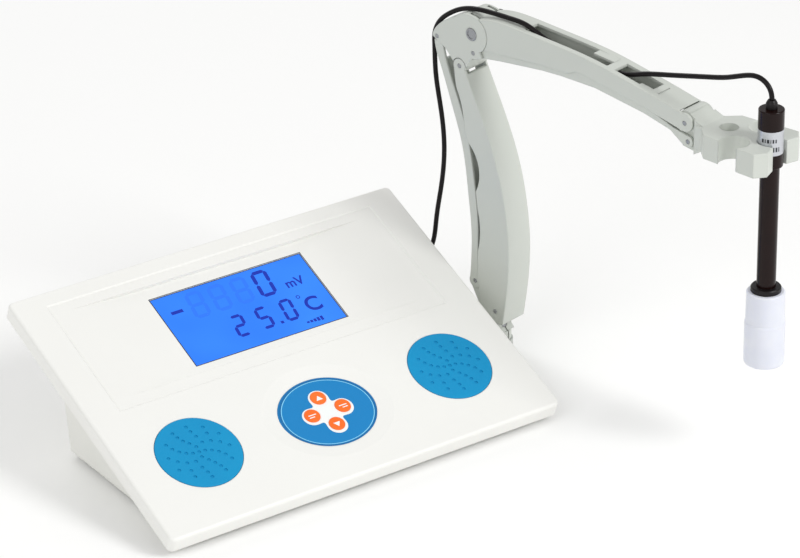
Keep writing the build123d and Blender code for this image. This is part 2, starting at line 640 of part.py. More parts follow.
def top_link():
    outline = top_link_outline()
    body = soften(cross(outline, -OUT, OUT), OUT, 0.8)
    body -= cross(Pos(0, -1.9) * outline + polygon((-12, 200), (170, 200), (170, 205), (0, 232), (-12, 232)),
                  -OUT_IN, OUT_IN)
    body -= cross(disc(HEAD_PIVOT, 8.3), -OUT_IN, OUT_IN) + block(158, 180, -OUT_IN, OUT_IN, 190, 240)
    body -= cross(disc(TOP_PIVOT, SEAM_R), -OUT_IN, OUT_IN)
    cheek = polygon((-12.5, 220.3), (-2, 223.4), (14, 225), (14, 233), (-12.5, 233))
    body += both(disc(TOP_PIVOT, 6.6) + cheek, MID_IN, MID)
    body += both(polygon((2.5, 226), (14, 226.5), (14, 233), (2.5, 233)), MID - 0.1, OUT_IN + 0.2)
    body -= block(29, 96, -7.0, 5.5, 225, 250) + block(102, 131, -7.0, 5.5, 215, 250)
    body += clip_tabs()
    body -= groove()
    body -= pin_hole(HEAD_PIVOT) + pin_hole(TOP_PIVOT, 3.0 + RUN)
    return on_arm(body)


def clip_tabs():
    """Small tongues at the ends of the slots that hold the cable down."""
    tabs = polygon((80, 234.1), (96.5, 232.4), (96.5, 234.2), (80, 235.9))
    last = polygon((122, 227.0), (131.5, 225.1), (131.5, 226.9), (122, 228.8))
    return cross(tabs, -0.6, 5.6) + cross(last, -7.1, -4.6)


def groove():
    """The fine line pressed into the far end of the top web."""
    return cross(polygon((135.6, 226.6), (136.5, 226.4), (136.5, 223.9), (135.6, 223.9)), -6.5, 5)


def bottom_link():
    low = Polyline((-11.2, 210.0), (-2, 212.0), (10, 213.6), (45, 217.0), (61, 217.6), (88, 217.2),
                   (127, 211.4), (148, 206.2), (157.5, 199.6), (161.7, 198.3))
    tip = ThreePointArc((161.7, 198.3), (165.5, 202.1), (161.7, 205.9))
    up = Polyline((161.7, 205.9), (150, 208.4), (127, 216.5), (88, 225.6), (45, 226.0), (18, 222.8),
                  (0, 219.4), (-11.2, 218.0))
    back = ThreePointArc((-11.2, 218.0), (-15.2, 214.0), (-11.2, 210.0))
    outline = make_face([low, tip, up, back])
    body = cross(outline, -MID, MID)
    body -= cross(Pos(0, 1.7) * outline + block_face(-30, 180, 226, 240), -MID_IN, MID_IN)
    body -= block(-40, 4, -MID_IN, MID_IN, 190, 240) + block(150, 190, -MID_IN, MID_IN, 190, 240)
    body -= pin_hole(BOTTOM_PIVOT) + pin_hole(HEAD_LOWER)
    return on_arm(body)


def block_face(s0, s1, z0, z1):
    return polygon((s0, z0), (s1, z0), (s1, z1), (s0, z1))


# --------------------------------------------------------------------- head
def head_plan():
    """Plan of the clip head: neck, four lobes, the front clip and two side clips."""
    half = [(167.4, 10.4), (174, 12.2), (181.5, 19.3), (191.5, 19.8), (210, 22.0), (221.8, 22.6),
            (227.2, 15.6), (224.6, 6.9), (218, 6.9)]
    mirror = [(s, -t) for s, t in reversed(half)]
    plan = make_face(Polyline(*half, *mirror, close=True))
    s, t, r = SIDE_NOTCH
    plan -= Pos(s, t) * Circle(r) + Pos(s, -t) * Circle(r)
    plan -= Pos(ELECTRODE_S, 0) * Circle(CAP_R + 0.08)
    return plan


def electrode_head():
    body = extrude(Plane.XY.offset(HEAD_BOTTOM) * head_plan(), HEAD_TOP - HEAD_BOTTOM)
    body = fillet(body.faces().sort_by(Axis.Z)[-1].edges(), 0.8)
    body = fillet(body.faces().sort_by(Axis.Z)[0].edges(), 0.8)
    neck = polygon((156.4, 197.6), (168, 195.6), (172, 200), (172, 216), (167.5, 218.8), (160.4, 222.3),
                   (155.5, 219), (155.5, 209))
    body += cross(neck, -CORE - 0.2, CORE + 0.2)
    wide = polygon((160.4, 209.6), (168, 209.6), (168, 218.6), (160.4, 222.3)) + (
        disc(HEAD_PIVOT, 7.6) & block_face(150, 163, 209.6, 230))
    body += cross(wide, -MID, MID)
    shoulder = polygon((167.4, 195.8), (174.5, 200.2), (174.5, 216), (168, 218.6), (167.4, 218.9))
    body += cross(shoulder, -10.4, 10.4)
    body -= tube_at(PROBE_S, 0, 190, 230, PROBE_R)
    body -= pin_hole(HEAD_PIVOT, PIN_R + 0.01) + pin_hole(HEAD_LOWER, PIN_R + 0.01)
    return on_arm(body)


# ---------------------------------------------------------------- electrode
def at_electrode(shape):
    return on_arm(Pos(ELECTRODE_S, 0, 0) * shape)


def electrode_cap():
    body = tube_at(0, 0, CAP_Z0, CAP_Z1, CAP_R)
    body = fillet(body.edges().filter_by(GeomType.CIRCLE), 0.8)
    body -= tube_at(0, 0, LABEL_Z0, LABEL_Z1, 20) - tube_at(0, 0, LABEL_Z0, LABEL_Z1, CAP_R - 0.15)
    body -= tube_at(0, 0, 190, CAP_Z0 + 12, ROD_R + 0.02)
    return at_electrode(body - tube_at(0, 0, CAP_Z1 - 6, CAP_Z1 + 1, 2.6))


def electrode_label():
    ring = tube_at(0, 0, LABEL_Z0 + 0.05, LABEL_Z1 - 0.05, CAP_R - 0.02)
    return at_electrode(ring - tube_at(0, 0, LABEL_Z0, LABEL_Z1, CAP_R - 0.14))


def strain_relief():
    profile = Polyline((1.62, CAP_Z1 - 5.9), (2.55, CAP_Z1 - 5.9), (2.55, CAP_Z1), (3.6, CAP_Z1 + 0.1),
                       (3.6, CAP_Z1 + 3.4), (3.0, CAP_Z1 + 4.6), (2.4, CAP_Z1 + 5.6), (1.62, CAP_Z1 + 5.6),
                       close=True)
    return at_electrode(revolve(Plane.XZ * make_face(profile), Axis.Z))


def electrode_rod():
    body = tube_at(0, 0, ROD_END, CAP_Z0 + 11.9, ROD_R)
    body = fillet(body.faces().sort_by(Axis.Z)[0].edges(), 0.6)
    return at_electrode(body - tube_at(0, 0, ROD_END - 1, ROD_END + 6, 4.6))


def glass_bulb():
    bulb = Pos(0, 0, ROD_END - 1.2) * Sphere(3.9)
    return at_electrode(bulb + tube_at(0, 0, ROD_END + 1, ROD_END + 5.8, 3.2))


def soak_bottle():
    outer = Polyline((0, BOTTLE_Z0), (BOTTLE_R - 1.6, BOTTLE_Z0), (BOTTLE_R - 0.4, BOTTLE_Z0 + 0.5),
                     (BOTTLE_R, BOTTLE_Z0 + 1.8), (BOTTLE_R, SHOULDER_Z), (BOTTLE_R - 0.25, SHOULDER_Z + 0.7),
                     (BOTTLE_R - 0.5, SHOULDER_Z + 1.2), (BOTTLE_R - 0.7, BOTTLE_Z1 - 0.8),
                     (BOTTLE_R - 1.5, BOTTLE_Z1), (MOUTH_R, BOTTLE_Z1), (MOUTH_R, BOTTLE_Z1 - 12.5),
                     (BOTTLE_R - 2.2, BOTTLE_Z1 - 16.5), (BOTTLE_R - 2.2, BOTTLE_Z0 + 3),
                     (BOTTLE_R - 4, BOTTLE_Z0 + 1.6), (0, BOTTLE_Z0 + 1.6), close=True)
    return at_electrode(revolve(Plane.XZ * make_face(outer), Axis.Z))


def bottle_seal():
    """Rubber sleeve round the rod that plugs the bottle's mouth and rests on its rim."""
    bore, plug = ROD_R + 0.05, MOUTH_R - 0.1
    profile = Polyline((bore, BOTTLE_Z1 - 8), (plug, BOTTLE_Z1 - 8), (plug, BOTTLE_Z1 + 0.05),
                       (9.5, BOTTLE_Z1 + 0.05), (9.5, BOTTLE_Z1 + 2.6), (8.9, BOTTLE_Z1 + 3.3),
                       (bore, BOTTLE_Z1 + 3.3), close=True)
    return at_electrode(revolve(Plane.XZ * make_face(profile), Axis.Z))


# -------------------------------------------------------------------- cable
def cable_lead():
    """From the electrode over to the second slot of the top link."""
    points = [(ELECTRODE_S, 0, CAP_Z1 + 5.65), (215.2, 0, 250.3), (208, 0, 254.6), (196, -0.2, 252.8),
              (184, -0.5, 248.4), (170, -0.8, 244.8), (155, -1.2, 241.4), (139, -1.6, 237.8), SLOT_END]
    return on_arm(cable(points, (0, 0, 1), SLOT_RUN))


def cable_arm():
    """Lies in the top link's channel, under its web, and comes out at the elbow end."""
    points = [SLOT_END, (110, -2.4, 230.2), (96, -2.6, 229.2), (74, -2.6, 231.6), (54, -3.4, 234.0),
              (41, -4.2, 237.4), (33, -4.6, 240.8), (26, -4.7, 242.6), CREST_END]
    return on_arm(cable(points, SLOT_RUN, CREST_RUN))


def cable_elbow():
    """Over the crest of the elbow and down behind it."""
    points = [CREST_END, (0, -5, 243.0), (-14, -5, 242.0), (-25, -5, 239.2), (-36, -5, 233.3),
              (-44.8, -5, 225.6), (-49.2, -5, 216.5), DROP_START]
    return on_arm(cable(points, CREST_RUN, (0, 0, -1)))


def cable_drop():
    """Hangs from the elbow and turns under the plate to the connector."""
    start = [arm_point(*p) for p in (DROP_START, (-48.0, -6, 188), (-44.0, -6, 164), (-41.6, -6, 138),
                                     (-45.2, -6, 106), (-49.0, -6.5, 84), (-54, -8, 60))]
    end = [(112, 103, 33), back_point(BNC_X, 42), back_point(BNC_X, 35.2)]
    inward = tuple(a - b for a, b in zip(back_point(BNC_X, 35), back_point(BNC_X, 36)))
    return cable(start + end, (0, 0, -1), inward)


def arm_point(s, t, z):
    a = radians(ARM_YAW - 90)
    return (SWIVEL_X + s * cos(a) - t * sin(a), SWIVEL_Y + s * sin(a) + t * cos(a), z)


def back_point(x, out):
    """A point in front of the rear connectors, out millimetres from the wall."""
    a = radians(BACK_TILT)
    y = CASE_BACK_Y + (SOCKET_Z - FOOT_H) * tan(a)
    return (x, y + out * cos(a), SOCKET_Z - out * sin(a))


def bnc_plug():
    shell = tube_at(0, 0, 3.0, 17, 7.2)
    shell = fillet(shell.edges().filter_by(GeomType.CIRCLE), 0.6)
    for i in range(16):
        shell -= tube_at(7.5 * cos(i * pi / 8), 7.5 * sin(i * pi / 8), 4.5, 13, 0.6)
    shell -= tube_at(0, 0, 2, 12.4, 5.8)
    shell += tube_at(0, 0, 16.5, 26, 5)
    boot = Pos(0, 0, 26) * Cone(4.4, 2.6, 9, align=(Align.CENTER, Align.CENTER, Align.MIN))
    return on_back(BNC_X, shell + boot)


PIECES = (
    top_cover, bottom_case, rubber_feet, case_screws, lcd_panel, lcd_backlight, keypad_overlay, keypad_board,
    key_up, key_down, key_left, key_right, left_pad, right_pad, main_board, board_posts, transformer,
    bnc_socket, temp_socket, ref_terminal, power_inlet, rocker_frame, power_rocker, fuse_holder,
    arm_bracket, bracket_screws, swivel_post, turret, lower_front_pin, lower_rear_pin, front_link, rear_link,
    elbow_bracket, elbow_rear_pin, elbow_front_pin, bottom_link_pin, tension_bolt, tension_knob, top_link,
    bottom_link, electrode_head, head_upper_pin, head_lower_pin, electrode_cap, electrode_label,
    strain_relief, electrode_rod, glass_bulb, soak_bottle, bottle_seal,
    cable_lead, cable_arm, cable_elbow, cable_drop, bnc_plug,
)


def main():
    """Write every piece to its own file, named after the function that builds it."""
    os.makedirs("parts", exist_ok=True)
    to_middle = Pos(-STAND_X, -STAND_Y, 0)
    for build in PIECES:
        export_step(to_middle * build(), f"parts/{build.__name__}.step")


main()
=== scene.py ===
"""Looks for the bench pH meter: materials, printed marks, display digits, cable, light and camera."""
import json
from math import cos, pi, sin, sqrt

import bmesh
import bpy
from mathutils import Matrix, Vector


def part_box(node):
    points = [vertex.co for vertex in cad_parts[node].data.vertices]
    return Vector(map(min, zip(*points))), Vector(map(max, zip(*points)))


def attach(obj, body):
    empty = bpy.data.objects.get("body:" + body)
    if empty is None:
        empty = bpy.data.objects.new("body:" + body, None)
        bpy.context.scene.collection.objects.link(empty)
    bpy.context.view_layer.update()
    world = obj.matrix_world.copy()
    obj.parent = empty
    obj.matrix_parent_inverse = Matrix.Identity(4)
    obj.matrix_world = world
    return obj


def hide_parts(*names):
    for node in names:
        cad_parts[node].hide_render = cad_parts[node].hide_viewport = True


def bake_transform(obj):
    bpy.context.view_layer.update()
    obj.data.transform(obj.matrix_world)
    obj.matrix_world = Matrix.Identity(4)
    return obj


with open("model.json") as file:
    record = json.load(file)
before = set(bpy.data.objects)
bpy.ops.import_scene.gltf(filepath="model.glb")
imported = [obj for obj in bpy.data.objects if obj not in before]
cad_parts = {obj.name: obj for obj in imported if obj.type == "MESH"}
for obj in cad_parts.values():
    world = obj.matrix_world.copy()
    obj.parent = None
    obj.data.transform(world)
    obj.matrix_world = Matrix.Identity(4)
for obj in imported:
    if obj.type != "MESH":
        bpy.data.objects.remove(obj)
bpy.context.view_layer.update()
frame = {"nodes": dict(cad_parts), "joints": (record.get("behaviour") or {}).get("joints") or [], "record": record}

MM = 0.001
NODES = frame["nodes"]
JOINTS = {j["name"]: j for j in frame["joints"]}

# The slanted plate: its outward normal, and the direction up its slope.
NORMAL = -Vector(JOINTS["press_up"]["axis"]).normalized()
UPWARD = Vector((0, NORMAL.z, -NORMAL.y))

# The arm: its side axis, its forward direction and the swivel's place on the desk.
SIDE = Vector(JOINTS["lower_pitch"]["axis"]).normalized()
FORWARD = Vector((SIDE.y, -SIDE.x, 0))
SWIVEL = Vector(JOINTS["arm_swivel"]["pos_m"]) * Vector((1, 1, 0))

# Camera, from the photograph's view of the part.
CAMERA_PLACE = Vector((-1.0832, -1.6080, 1.0929))
CAMERA_RIGHT = Vector((0.82376, -0.56664, -0.01872))
CAMERA_FORWARD = Vector((0.49905, 0.74037, -0.45033))
CAMERA_LENS = 157.5


# ------------------------------------------------------------------ geometry
def middle(node):
    low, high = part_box(node)
    return (low + high) / 2


def reach(node, direction):
    """How far a node goes along a direction."""
    return max(direction.dot(v.co) for v in NODES[node].data.vertices)


def on_plate(x, up, height):
    """A point on the plate: across in millimetres from the display's middle, up and out in metres."""
    return Vector((middle("lcd_panel").x + x * MM, 0, 0)) + UPWARD * up + NORMAL * height


def arm_point(s, t, z):
    """A point from forward, across and up, in millimetres from the foot of the swivel."""
    return SWIVEL + FORWARD * (s * MM) + SIDE * (t * MM) + Vector((0, 0, z * MM))


def new_piece(name, points, faces, material, body):
    mesh = bpy.data.meshes.new(name)
    mesh.from_pydata([tuple(p) for p in points], [], faces)
    mesh.update()
    piece = bpy.data.objects.new(name, mesh)
    bpy.context.scene.collection.objects.link(piece)
    mesh.materials.append(material)
    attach(piece, body)
    return piece


def printed(name, shapes, up, height, material, body="meter"):
    """Thin printed shapes at one height: each is an outline of (across, up) points in millimetres."""
    points, faces = [], []
    for outline in shapes:
        first = len(points)
        points += [on_plate(x, up + v * MM, height) for x, v in outline]
        faces.append(tuple(range(first, len(points))))
    return new_piece(name, points, faces, material, body)


def ring_piece(name, outer, inner, up, height, material):
    """A printed oval ring between two sizes of (half width, half length)."""
    steps = 96
    points, faces = [], []
    for i in range(steps):
        a = 2 * pi * i / steps
        for half_w, half_l in (outer, inner):
            points.append(on_plate(half_w * cos(a), up + half_l * sin(a) * MM, height))
    for i in range(steps):
        j = (i + 1) % steps
        faces.append((2 * i, 2 * j, 2 * j + 1, 2 * i + 1))
    return new_piece(name, points, faces, material, "meter")


# ----------------------------------------------------------------- materials
def colour(code):
    """Linear colour from a hex code such as F4F4EE."""
    channels = [int(code[i:i + 2], 16) / 255 for i in (0, 2, 4)]
    return tuple(c / 12.92 if c <= 0.04045 else ((c + 0.055) / 1.055) ** 2.4 for c in channels) + (1,)


class Finish:
    """A node-based material that is built up one layer at a time."""

    def __init__(self, name, code, roughness, **inputs):
        self.material = bpy.data.materials.new(name)
        self.material.use_nodes = True
        self.tree = self.material.node_tree
        self.shader = self.tree.nodes["Principled BSDF"]
        self.shader.inputs["Base Color"].default_value = colour(code)
        self.shader.inputs["Roughness"].default_value = roughness
        self.place = self.tree.nodes.new("ShaderNodeTexCoord").outputs["Object"]
        for key, value in inputs.items():
            self.shader.inputs[key.replace("_", " ")].default_value = value

    def link(self, a, b):
        self.tree.links.new(a, b)

    def noise(self, scale, detail=3, stretch=(1, 1, 1)):
        """Noise with features of about 1 / scale metres."""
        mapping = self.tree.nodes.new("ShaderNodeMapping")
        mapping.inputs["Scale"].default_value = stretch
        texture = self.tree.nodes.new("ShaderNodeTexNoise")
        texture.inputs["Scale"].default_value = scale
        texture.inputs["Detail"].default_value = detail
        self.link(self.place, mapping.inputs["Vector"])
        self.link(mapping.outputs["Vector"], texture.inputs["Vector"])
        return texture.outputs["Fac"]

    def spread(self, value, low, high):
        """Stretch a texture value between two results."""
        node = self.tree.nodes.new("ShaderNodeMapRange")
        node.inputs["From Min"].default_value = 0.3
        node.inputs["From Max"].default_value = 0.7
        node.inputs["To Min"].default_value = low
        node.inputs["To Max"].default_value = high
        self.link(value, node.inputs["Value"])
        return node.outputs["Result"]

    def shade(self, scale, code, share):
        """Let the colour drift towards another one in soft patches."""
        mix = self.tree.nodes.new("ShaderNodeMix")
        mix.data_type = "RGBA"
        mix.inputs["A"].default_value = self.shader.inputs["Base Color"].default_value
        mix.inputs["B"].default_value = colour(code)
        self.link(self.spread(self.noise(scale, 5), 0, share), mix.inputs["Factor"])
        self.link(mix.outputs["Result"], self.shader.inputs["Base Color"])
        return self

    def uneven(self, scale, low, high):
        """Let the roughness vary."""
        self.link(self.spread(self.noise(scale, 6), low, high), self.shader.inputs["Roughness"])
        return self

    def grain(self, scale, depth, stretch=(1, 1, 1), edge=0.0):
        """Fine surface grain, depth in millimetres, with an optional soft rounding of hard edges."""
        bump = self.tree.nodes.new("ShaderNodeBump")
        bump.inputs["Strength"].default_value = 1
        bump.inputs["Distance"].default_value = depth * MM
        self.link(self.noise(scale, 3, stretch), bump.inputs["Height"])
        if edge:
            bevel = self.tree.nodes.new("ShaderNodeBevel")
            bevel.samples = 4
            bevel.inputs["Radius"].default_value = edge * MM
            self.link(bevel.outputs["Normal"], bump.inputs["Normal"])
        self.link(bump.outputs["Normal"], self.shader.inputs["Normal"])
        return self

    def glow(self, code, strength):
        self.shader.inputs["Emission Color"].default_value = colour(code)
        self.shader.inputs["Emission Strength"].default_value = strength
        return self


def moulded(name, code, darker, roughness=0.42, grain=0.012, edge=0.4):
    """Moulded plastic with a fine matt texture and softly rounded edges."""
    finish = Finish(name, code, roughness, Specular_IOR_Level=0.45)
    finish.shade(9, darker, 0.5).uneven(300, roughness - 0.06, roughness + 0.08).grain(1500, grain, edge=edge)
    return finish.material


def rubbery(name, code, lighter, roughness=0.55, shine=0.3):
    finish = Finish(name, code, roughness, Specular_IOR_Level=shine)
    finish.shade(45, lighter, 0.6).uneven(400, roughness - 0.08, roughness + 0.1).grain(1900, 0.02, edge=0.2)
    return finish.material


def metal(name, code, roughness, brushed=(1, 1, 1)):
    finish = Finish(name, code, roughness, Metallic=1.0)
    finish.uneven(700, roughness - 0.08, roughness + 0.12).grain(1200, 0.006, brushed, edge=0.2)
    return finish.material


def glossy(name, code, lighter, roughness=0.28, shine=0.5):
    finish = Finish(name, code, roughness, Specular_IOR_Level=shine)
    finish.shade(60, lighter, 0.7).uneven(500, roughness - 0.08, roughness + 0.12)
    finish.grain(1300, 0.008, edge=0.3)
    return finish.material


def clear_film(name, code, roughness, strength=None, glow_code=None):
    """Printed film and inks."""
    finish = Finish(name, code, roughness, Specular_IOR_Level=0.4)
    finish.uneven(600, roughness - 0.06, roughness + 0.08).grain(1800, 0.004)
    if strength:
        finish.glow(glow_code or code, strength)
    return finish.material


def frosted():
    """Cloudy translucent plastic of the soaking bottle."""
    finish = Finish("frosted_bottle", "E2E4EC", 0.34, Specular_IOR_Level=0.45, Subsurface_Weight=0.4)
    finish.shader.inputs["Subsurface Radius"].default_value = (0.004, 0.004, 0.005)
    finish.shade(70, "DADDE8", 0.7).uneven(350, 0.3, 0.42).grain(1500, 0.004)
    return finish.material


def glass():
    finish = Finish("bulb_glass", "F2F8FA", 0.04, Transmission_Weight=1.0)
    finish.uneven(200, 0.02, 0.09).grain(150, 0.01)
    return finish.material


def backlit():
    """The lit display: its glow drifts between two blues in soft patches."""
    finish = Finish("lit_display", "0C2C80", 0.16, Specular_IOR_Level=0.3)
    finish.uneven(40, 0.12, 0.2).grain(2500, 0.002)
    mix = finish.tree.nodes.new("ShaderNodeMix")
    mix.data_type = "RGBA"
    mix.inputs["A"].default_value = colour("2A7CF8")
    mix.inputs["B"].default_value = colour("368CFF")
    finish.link(finish.spread(finish.noise(22, 1), 0, 1), mix.inputs["Factor"])
    finish.link(mix.outputs["Result"], finish.shader.inputs["Emission Color"])
    finish.shader.inputs["Emission Strength"].default_value = 0.92
    return finish.material


MATERIALS = {
    "case_white": moulded("case_plastic", "EFEFEB", "E9E8E4", 0.34),
    "case_lower": moulded("case_lower_plastic", "ECECE7", "E0E0DA"),
    "rubber_dark": rubbery("dark_rubber", "141112", "1E1A1B", 0.4, 0.25),
    "steel": metal("bright_steel", "9C9EA1", 0.3, (1, 1, 6)),
    "lcd_blue": backlit(),
    "backlight": glossy("light_guide", "DCE8F2", "C8DDF0"),
    "keypad_blue": clear_film("keypad_film", "0080C2", 0.5),
    "key_orange": rubbery("orange_keys", "F96A1E", "FB8238", 0.48),
    "board_green": glossy("solder_mask", "1C5A34", "27703F"),
    "pad_blue": rubbery("blue_pad", "008EC4", "0096CA", 0.6),
    "transformer_core": metal("laminations", "55565A", 0.5, (1, 14, 1)),
    "black_plastic": glossy("black_plastic", "161618", "232325", 0.34),
    "nickel": metal("nickel_plate", "C4C2BB", 0.22),
    "arm_grey": moulded("arm_plastic", "C9CDC6", "C2C6BF", 0.36, 0.012, 0.9),
    "bracket_paint": moulded("powder_coat", "BFC3BE", "AFB3AE", 0.5, 0.03),
    "electrode_black": glossy("electrode_body", "160807", "1E0D0A", 0.16, 0.2),
    "label_silver": metal("foil_label", "C9CBD0", 0.34),
    "bulb_glass": glass(),
    "bottle_clear": frosted(),
    "cable_black": rubbery("cable_sheath", "0E0A0B", "171213", 0.36, 0.2),
    "terminal_grey": moulded("terminal_plastic", "6C7074", "5E6266"),
}


def dress_frame():
    """Give every carried-over node the finish of its material slot."""
    slots = {row["node"]: row["material_slot"] for row in frame["record"]["subparts"]}
    for node, piece in NODES.items():
        piece.data.materials.clear()
        piece.data.materials.append(MATERIALS[slots[node]])


# ------------------------------------------------------------------- display
# Millimetres, measured from the middle of the display.
GLASS_LAP = 2.3                      # how far the glass reaches under the cover
COVER_LIFT = 0.63                    # from the print on the glass up to the cover round the window
EDGE_LINE = 0.5
UPPER_ROW, LOWER_ROW = 15.9, -10.4   # middle heights of both rows of digits
LARGE, SMALL = (9.4, 19.6, 2.7), (7.2, 16.2, 2.3)   # width, height and stroke of a digit
SEGMENT_GAP, SEGMENT_SLANT = 0.12, 0.11
INK_LIFT = 0.03 * MM                 # prints lie this far above the surface under them
SEGMENTS = {"0": "abcdef", "2": "abged", "5": "afgcd", "8": "abcdefg"}


def segment_shapes(digit, x, up, width, height, thick):
    """Seven-segment outlines with pointed ends and a small gap, leaning to the right."""
    w, h, t = width / 2, height / 2, thick / 2
    ends = {"a": ((-w, h), (w, h)), "d": ((-w, -h), (w, -h)), "g": ((-w, 0), (w, 0)),
            "f": ((-w, 0), (-w, h)), "b": ((w, 0), (w, h)),
            "e": ((-w, -h), (-w, 0)), "c": ((w, -h), (w, 0))}
    shapes = []
    for letter in SEGMENTS[digit]:
        (x0, v0), (x1, v1) = ends[letter]
        if v0 == v1:
            x0, x1 = x0 + SEGMENT_GAP, x1 - SEGMENT_GAP
            outline = [(x0, v0), (x0 + t, v0 + t), (x1 - t, v0 + t),
                       (x1, v0), (x1 - t, v0 - t), (x0 + t, v0 - t)]
        else:
            v0, v1 = v0 + SEGMENT_GAP, v1 - SEGMENT_GAP
            outline = [(x0, v0), (x0 + t, v0 + t), (x0 + t, v1 - t),
                       (x0, v1), (x0 - t, v1 - t), (x0 - t, v0 + t)]
        shapes.append([(x + px + SEGMENT_SLANT * pv, up + pv) for px, pv in outline])
    return shapes


def bar(x, up, width, height):
    """A rectangle round its middle point."""
    return [(x - width / 2, up - height / 2), (x + width / 2, up - height / 2),
            (x + width / 2, up + height / 2), (x - width / 2, up + height / 2)]


def round_shape(x, up, radius, steps=24):
    """A circle as a ring of points."""
    turns = [2 * pi * i / steps for i in range(steps)]
    return [(x + radius * cos(a), up + radius * sin(a)) for a in turns]


def stroke_text(text, x, up, size):
    """Flat text in slightly bold strokes, as points in millimetres and faces."""
    curve = bpy.data.curves.new("display_text", "FONT")
    curve.body = text
    curve.size = size * MM
    curve.offset = size * 0.022 * MM
    holder = bpy.data.objects.new("display_text", curve)
    bpy.context.scene.collection.objects.link(holder)
    bpy.context.view_layer.update()
    graph = bpy.context.evaluated_depsgraph_get()
    mesh = bpy.data.meshes.new_from_object(holder.evaluated_get(graph))
    points = [(x + v.co.x / MM, up + v.co.y / MM) for v in mesh.vertices]
    faces = [tuple(p.vertices) for p in mesh.polygons]
    bpy.data.objects.remove(holder)
    return points, faces


def display_units(up, height, ink):
    for text, x, v, size in (("mV", 33.6, 6.2, 10.0), ("C", 36.0, -17.0, 16.5)):
        points, faces = stroke_text(text, x, v, size)
        placed = [on_plate(px, up + pv * MM, height) for px, pv in points]
        new_piece("display_unit_" + text, placed, faces, ink, "meter")
    ring = round_shape(35.6, -3.0, 1.5) + round_shape(35.6, -3.0, 0.9)
    n = len(ring) // 2
    points = [on_plate(x, up + v * MM, height) for x, v in ring]
    faces = [(i, (i + 1) % n, n + (i + 1) % n, n + i) for i in range(n)]
    new_piece("display_degree", points, faces, ink, "meter")


def display_edges(up, height):
    """Dark lines round the window: one on the glass and one on the cover just outside it."""
    dark = clear_film("display_gasket", "2A3038", 0.5)
    low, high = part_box("lcd_panel")
    half_w = (high.x - low.x) / 2 / MM - GLASS_LAP
    half_l = (reach("lcd_panel", UPWARD) - up) / MM - GLASS_LAP
    for name, outwards, lift in (("display_gasket", 0, 0.02),
                                 ("display_window_line", EDGE_LINE, COVER_LIFT)):
        x, v = half_w + outwards, half_l + outwards
        along = [bar(0, side * (v - EDGE_LINE / 2), 2 * x, EDGE_LINE) for side in (1, -1)]
        across = [bar(side * (x - EDGE_LINE / 2), 0, EDGE_LINE, 2 * v) for side in (1, -1)]
        printed(name, along + across, up, height + lift * MM, dark)


def display():
    up, height = UPWARD.dot(middle("lcd_panel")), reach("lcd_panel", NORMAL) + INK_LIFT
    ink = clear_film("display_ink", "020A50", 0.3, 0.8, "0030B4")
    ghost = clear_film("display_ghost", "0C2C80", 0.2, 0.92, "2878F2")
    digits = segment_shapes("0", 20.8, UPPER_ROW, *LARGE)
    for digit, x in (("2", -12.7), ("5", 5.6), ("0", 24.1)):
        digits += segment_shapes(digit, x, LOWER_ROW, *SMALL)
    digits += [bar(-44.9, 15.0, 8.6, 2.6), bar(14.6, -18.2, 2.2, 2.2)]
    digits += [bar(30.4 + 2.6 * i, -24.6, 1.9, 1.4 + 0.55 * i) for i in range(5)]
    printed("display_digits", digits, up, height, ink)
    display_units(up, height, ink)
    unlit = [shape for x in (-29.0, -12.4, 4.2) for shape in segment_shapes("8", x, UPPER_ROW, *LARGE)]
    printed("display_unlit_digits", unlit, up, height - 0.01 * MM, ghost)
    display_edges(up, height)


# -------------------------------------------------------------------- keypad
RIM_LIFT = 0.02 * MM
RIM_EDGES = ((0.986, 0.983), (0.936, 0.930), (0.922, 0.914))   # shares of the film's half width and length
CLOVER_LOBE, CLOVER_WAIST = 6.9, 9.9                           # radii in millimetres


def clover(offset, lobe, waist, steps=120):
    """Outline of four round lobes that flow into a round middle."""
    radii = []
    for i in range(steps):
        a = 2 * pi * i / steps
        turn = (a + pi / 4) % (pi / 2) - pi / 4
        room = lobe ** 2 - (offset * sin(turn)) ** 2
        radii.append(max(waist, offset * cos(turn) + sqrt(room)) if room > 0 else waist)
    for _ in range(3):
        radii = [(radii[i - 1] + 2 * radii[i] + radii[(i + 1) % steps]) / 4 for i in range(steps)]
    return [(r * cos(2 * pi * i / steps), r * sin(2 * pi * i / steps)) for i, r in enumerate(radii)]


